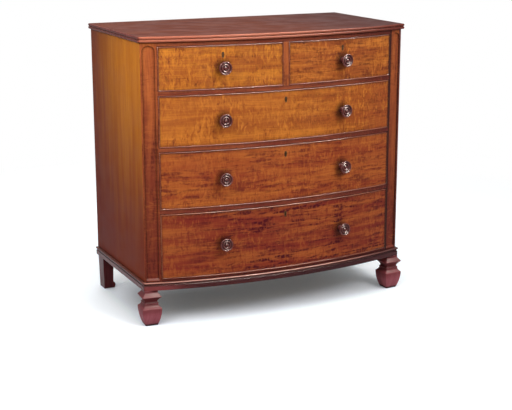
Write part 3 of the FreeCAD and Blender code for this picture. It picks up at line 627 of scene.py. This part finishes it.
fronts = {
    "short_left": veneer("short_left", seed=1.0, ticks=0.78, curl=1.0, **GOLD),
    "short_right": veneer("short_right", seed=12.0, ticks=0.75, streaks=0.6, curl=0.9, **TAWNY),
    "upper": veneer(
        "upper", seed=23.0, ticks=0.75, streaks=0.4, curl=0.9, rising=(-0.2, 0.3),
        # painted shade: the right end of the bow darker, as it turns from the light
        aged=[(srgb(146, 66, 34), X, 0.0, 0.60)], **AMBER,
    ),
    "middle": veneer("middle", seed=34.0, ticks=0.6, streaks=0.7, curl=0.7, **RUSSET),
    "lower": veneer("lower", seed=45.0, streaks=1.0, ticks=0.5, curl=0.6, rising=(-0.5, -0.1), **WINE),
}
rail_wood = mahogany(
    "frame_rails", srgb(154, 82, 48), srgb(118, 52, 36), srgb(62, 20, 22), "x", 56.0,
    curl=0.3, streaks=0.4, hollows=14 * MM,
    # painted shade: darker towards the floor and towards the right
    aged=[(srgb(100, 40, 36), Z, 0.75, 0.15), (srgb(84, 32, 30), X, 0.05, 0.50)],
)
STILE = dict(
    light=srgb(174, 94, 46), deep=srgb(128, 58, 36), dark=srgb(56, 14, 20), direction="z", seed=68.0,
    # worn gives the stiles' arrises wear and a painted highlight
    streaks=0.60, curl=0.35, hollows=10 * MM, worn=2.6 * MM,
)
STILE_FALLOFF_SHADE = (srgb(100, 36, 30), Z, 0.80, 0.20)     # painted shade: darker towards the floor, as the light falls off
stile_wood = mahogany("frame_stile", aged=[STILE_FALLOFF_SHADE], **STILE)
# The right stile has painted shade along its outer edge and a painted shadow line along the drawers.
right_stile_wood = mahogany(
    "frame_stile_right", aged=[STILE_FALLOFF_SHADE, (srgb(84, 42, 48), X, 0.519, 0.523)],
    seam_shade=[(srgb(26, 10, 12), X, 0.4812, 0.4788)], **STILE,
)
side_wood = mahogany(
    "side_boards", srgb(206, 130, 34), srgb(192, 112, 30), srgb(128, 62, 26), "z", 78.0,
    streaks=0.10, reflect=0.01,
    # darker towards the floor and the back: partly the boards' own tone, partly painted shade as the light
    # falls off
    aged=[(srgb(106, 22, 16), Z, 1.00, 0.24), (srgb(108, 38, 28), Y, -0.08, 0.36)],
)
top_wood = mahogany(
    "top_boards", srgb(106, 56, 38), srgb(84, 40, 31), srgb(48, 20, 18), "top", 89.0,
    # painted shade: the top darker towards the right
    ticks=0.15, gloss=0.36, reflect=0.002, aged=[(srgb(64, 37, 36), X, -0.10, 0.65)],
)
# The reeds' light colour is partly a painted highlight; they carry painted shade towards the right and on
# their end faces.
reed_wood = mahogany(
    "reeds", srgb(190, 118, 92), srgb(164, 92, 70), srgb(80, 28, 24), "run", 95.0,
    gloss=0.26, reflect=0.025, hollows=4 * MM,
    aged=[
        # painted shade towards the right
        (srgb(84, 32, 30), X, -0.15, 0.55),
        (srgb(92, 34, 32), X, -0.530, -0.538),      # painted shade on the ends of the top, left and right
        (srgb(92, 34, 32), X, 0.530, 0.538),
    ],
)
# The moulding is painted dark, partly its own colour, partly as its fascia stands in shade.
moulding_wood = mahogany(
    "moulding", srgb(72, 28, 28), srgb(54, 19, 22), srgb(36, 12, 16), "run", 90.0,
    gloss=0.20, reflect=0.10, hollows=14 * MM,
    aged=[
        # painted light: lighter at the left corner
        (srgb(128, 58, 58), X, -0.34, -0.50),
        (srgb(156, 96, 86), Z, 0.1513, 0.1523),     # painted highlight on the lower bead
        (srgb(72, 27, 28), Z, 0.1542, 0.1550),      # painted shade in the quirk over it
        (srgb(166, 114, 100), Z, 0.1596, 0.1608),   # painted highlight on the upper bead
        # painted shade towards the right
        (srgb(66, 28, 30), X, 0.16, 0.58),
        # painted shade on the left end
        (srgb(84, 34, 34), X, -0.529, -0.540),
    ],
)
# The feet's pale mauve is partly a painted sheen; arris gives a painted highlight on their arrises.
foot_wood = mahogany(
    "feet", srgb(172, 98, 108), srgb(150, 78, 88), srgb(64, 26, 34), "z", 101.0,
    curl=0.1, gloss=0.46, reflect=0.06, hollows=12 * MM, dirt_and_shade=1.0, worn=2.4 * MM, arris=0.9,
    aged=[
        # painted shade, growing from the belly upwards
        (srgb(112, 50, 54), Z, 0.030, 0.066),
        (srgb(98, 42, 44), Z, 0.066, 0.080),        # painted shade on the neck and cushion
    ],
)
# painted shade: a darker copy of the feet's wood for the rear feet, which stand in shade
rear_foot_wood = mahogany(
    "rear_feet", srgb(96, 40, 42), srgb(70, 26, 30), srgb(40, 14, 20), "z", 105.0, reflect=0.10,
)
turned_wood = mahogany(
    "turned_knobs", srgb(112, 58, 52), srgb(80, 34, 34), srgb(40, 14, 16), "z", 112.0,
    gloss=0.24, reflect=0.18, worn=0.8 * MM,
)
# painted shade on the beads' flanks and a painted highlight on their crowns
bead_wood = mahogany(
    "cockbeads", srgb(152, 88, 60), srgb(106, 47, 35), srgb(48, 16, 18), "run", 123.0,
    gloss=0.20, reflect=0.14, hollows=3.5 * MM, dirt_and_shade=1.0, arris=0.70,
    aged=[(srgb(40, 16, 18), X, 0.460, 0.469)],     # painted shadow on the beads beside the right stile
)
pine_across = pine("pine_across", 5.0, "x")
pine_deep = pine("pine_deep", 15.0, "y")
back_left, back_right = (corner.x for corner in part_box("back_boards"))
back_pitch = (back_right - back_left + BACK_JOINT) / BACK_BOARDS
pine_upright = pine("pine_upright", 25.0, "z", (back_left - BACK_JOINT / 2, back_pitch))
old_brass = brass("old_brass")

FINISHES = {
    "stile_left": stile_wood,
    "stile_right": right_stile_wood,
    "muntin": stile_wood,
    "side_left": side_wood,
    "side_right": side_wood,
    "frieze_rail": rail_wood,
    "drawer_rails": rail_wood,
    "base_rail": rail_wood,
    "top_board": top_wood,
    "base_moulding": moulding_wood,
    "front_feet": foot_wood,
    "rear_feet": rear_foot_wood,
    "partition": pine_deep,
    "drawer_runners": pine_deep,
    "bottom_board": pine_across,
    "dustboards": pine_across,
    "drawer_stops": pine_across,
    "back_boards": pine_upright,
}
for drawer in DRAWERS:
    FINISHES[f"drawer_{drawer}_front"] = fronts[drawer]
    FINISHES[f"drawer_{drawer}_beads_and_knobs"] = turned_wood
    FINISHES[f"drawer_{drawer}_sides"] = pine_deep
    FINISHES[f"drawer_{drawer}_back"] = pine_across
    FINISHES[f"drawer_{drawer}_bottom"] = pine_across
    FINISHES[f"drawer_{drawer}_lock"] = old_brass
    FINISHES[f"drawer_{drawer}_bolt"] = old_brass
for node, finish in FINISHES.items():
    dress(nodes[node], finish)


# Pieces that stand for CAD nodes ------------------------------------------------------------------

for build, node, slot, finish in (
    (top_slab, "top_board", "top_mahogany", top_wood),
    (top_reeds, "top_board", "top_mahogany", reed_wood),
    (base_moulding, "base_moulding", "frame_mahogany", moulding_wood),
    (front_feet, "front_feet", "frame_mahogany", foot_wood),
):
    made = build()
    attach(made, "carcase")
    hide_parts(node)
    dress(made, finish)

for drawer in DRAWERS:
    beads, knobs = drawer_trim(drawer)
    dress(beads, bead_wood)
    dress(knobs, turned_wood)


# Stage, light and camera --------------------------------------------------------------------------

WHITE = (1.0, 1.0, 1.0, 1.0)
FLOOR_HALF = 40.0
SHADOW_REACH = 0.40         # painted shadow: the floor is darker this near to the chest
FLOOR_FADE = (1.3, 2.6)     # from the first to the second distance from the middle it turns plain white


def studio_floor():
    """White floor with the chest's shadow and a painted shadow near it, which fades to plain white. From
    below it is clear.
    """
    s = Shader("studio_floor")
    distance = s.add("ShaderNodeVectorMath", {0: s.place}, operation="LENGTH").outputs["Value"]
    paths = s.add("ShaderNodeLightPath").outputs
    mirrored = s.maths("MAXIMUM", paths["Is Glossy Ray"], paths["Is Transmission Ray"])
    seen = s.maths("MAXIMUM", paths["Is Camera Ray"], mirrored)
    bounce = s.add("ShaderNodeBsdfDiffuse", {"Color": (0.40, 0.40, 0.40, 1.0)}).outputs[0]
    # painted shadow: the floor's colour and glow drop where the chest closes it in
    air = s.open_air(SHADOW_REACH, 16)
    shade = s.mix(s.band(air, 0.0, 0.80), (0.40, 0.42, 0.50, 1.0), (0.92, 0.96, 1.0, 1.0))
    lit = s.add("ShaderNodeBsdfDiffuse", {"Color": shade}).outputs[0]
    strength = s.band(air, 0.0, 0.40, 0.045, 0.19)
    lift = s.add("ShaderNodeEmission", {"Color": (0.86, 0.96, 1.0, 1.0), "Strength": strength}).outputs[0]
    near = s.add("ShaderNodeAddShader", {0: lit, 1: lift}).outputs[0]
    white = s.add("ShaderNodeEmission", {"Color": WHITE, "Strength": 1.0}).outputs[0]
    shown = s.add("ShaderNodeMixShader", {0: s.band(distance, *FLOOR_FADE), 1: near, 2: white}).outputs[0]
    mixed = s.add("ShaderNodeMixShader", {0: seen, 1: bounce, 2: shown}).outputs[0]
    under = s.add("ShaderNodeNewGeometry").outputs["Backfacing"]
    clear = s.add("ShaderNodeBsdfTransparent").outputs[0]
    open_below = s.add("ShaderNodeMixShader", {0: under, 1: mixed, 2: clear}).outputs[0]
    s.add("ShaderNodeOutputMaterial", {"Surface": open_below})
    return s.material


floor_lines = spread(-FLOOR_HALF, FLOOR_HALF, 5)
floor_rows = [[(x, y, 0.0) for x in floor_lines] for y in floor_lines]
floor = finish_mesh("studio_ground", *lattice(floor_rows, False, False), sharp_degrees=30)
dress(floor, studio_floor())


def soft_light(name, place, target, width, height, power, colour):
    """Area lamp at a place, turned to its target. The camera doesn't see it."""
    lamp = bpy.data.lights.new(name, "AREA")
    lamp.shape = "RECTANGLE"
    lamp.size, lamp.size_y = width, height
    lamp.energy = power
    lamp.color = colour
    holder = bpy.data.objects.new(name, lamp)
    bpy.context.scene.collection.objects.link(holder)
    holder.location = place
    holder.rotation_euler = (Vector(target) - Vector(place)).to_track_quat("-Z", "Y").to_euler()
    holder.visible_camera = False
    return holder


soft_light("key", (1.2, -3.0, 2.9), (0.0, -0.2, 0.65), 1.4, 1.4, 92.0, (1.0, 0.98, 0.95))
soft_light("overhead", (-0.3, -0.6, 3.3), (-0.1, -0.5, 0.0), 2.6, 2.2, 66.0, (0.98, 0.99, 1.0))
soft_light("left", (-1.6, -1.0, 1.7), (-0.4, -0.1, 0.9), 0.8, 0.8, 21.0, (1.0, 0.98, 0.96))
rear = soft_light("rear", (0.4, 3.2, 2.4), (0.0, 0.0, 0.5), 1.8, 1.4, 60.0, (1.0, 0.99, 0.98))
rear.visible_glossy = False

# Narrow strips that only the polish reflects
STRIP_TARGET = (0.0, -0.2, 0.7)
STRIP_HEIGHT = 0.25
STRIP_COLOUR = (1.0, 0.86, 0.77)
for name, place, length, power in (
    ("strip_right", (0.9, -1.9, 2.6), 3.0, 1300.0),
    ("strip_left", (-1.7, -1.2, 2.3), 0.8, 180.0),
):
    strip = soft_light(name, place, STRIP_TARGET, length, STRIP_HEIGHT, power, STRIP_COLOUR)
    strip.visible_diffuse = False


def white_world():
    """World that is white where it is seen or mirrored, and gives little light."""
    world = bpy.data.worlds.new("studio")
    world.use_nodes = True
    tree = world.node_tree
    tree.nodes.clear()
    paths = tree.nodes.new("ShaderNodeLightPath")
    mirrored = tree.nodes.new("ShaderNodeMath")
    mirrored.operation = "MAXIMUM"
    tree.links.new(paths.outputs["Is Glossy Ray"], mirrored.inputs[0])
    tree.links.new(paths.outputs["Is Transmission Ray"], mirrored.inputs[1])
    seen = tree.nodes.new("ShaderNodeMath")
    seen.operation = "MAXIMUM"
    tree.links.new(paths.outputs["Is Camera Ray"], seen.inputs[0])
    tree.links.new(mirrored.outputs[0], seen.inputs[1])
    level = tree.nodes.new("ShaderNodeMapRange")
    level.inputs["To Min"].default_value = 0.20
    level.inputs["To Max"].default_value = 1.0
    tree.links.new(seen.outputs[0], level.inputs["Value"])
    glow = tree.nodes.new("ShaderNodeBackground")
    glow.inputs["Color"].default_value = WHITE
    tree.links.new(level.outputs[0], glow.inputs["Strength"])
    out = tree.nodes.new("ShaderNodeOutputWorld")
    tree.links.new(glow.outputs[0], out.inputs["Surface"])
    return world


bpy.context.scene.world = white_world()

lens = bpy.data.cameras.new("camera")
lens.sensor_width = 36.0
lens.lens = 84.94
lens.shift_x, lens.shift_y = -0.009, -0.006
lens.clip_start, lens.clip_end = 0.1, 200.0
camera = bpy.data.objects.new("camera", lens)
bpy.context.scene.collection.objects.link(camera)
camera.location = (-1.9750, -4.1493, 1.5040)
camera.rotation_euler = (math.radians(76.0), 0.0, math.radians(-25.90))
bpy.context.scene.camera = camera
bpy.context.scene.view_settings.view_transform = "Standard"

bpy.context.view_layer.update()
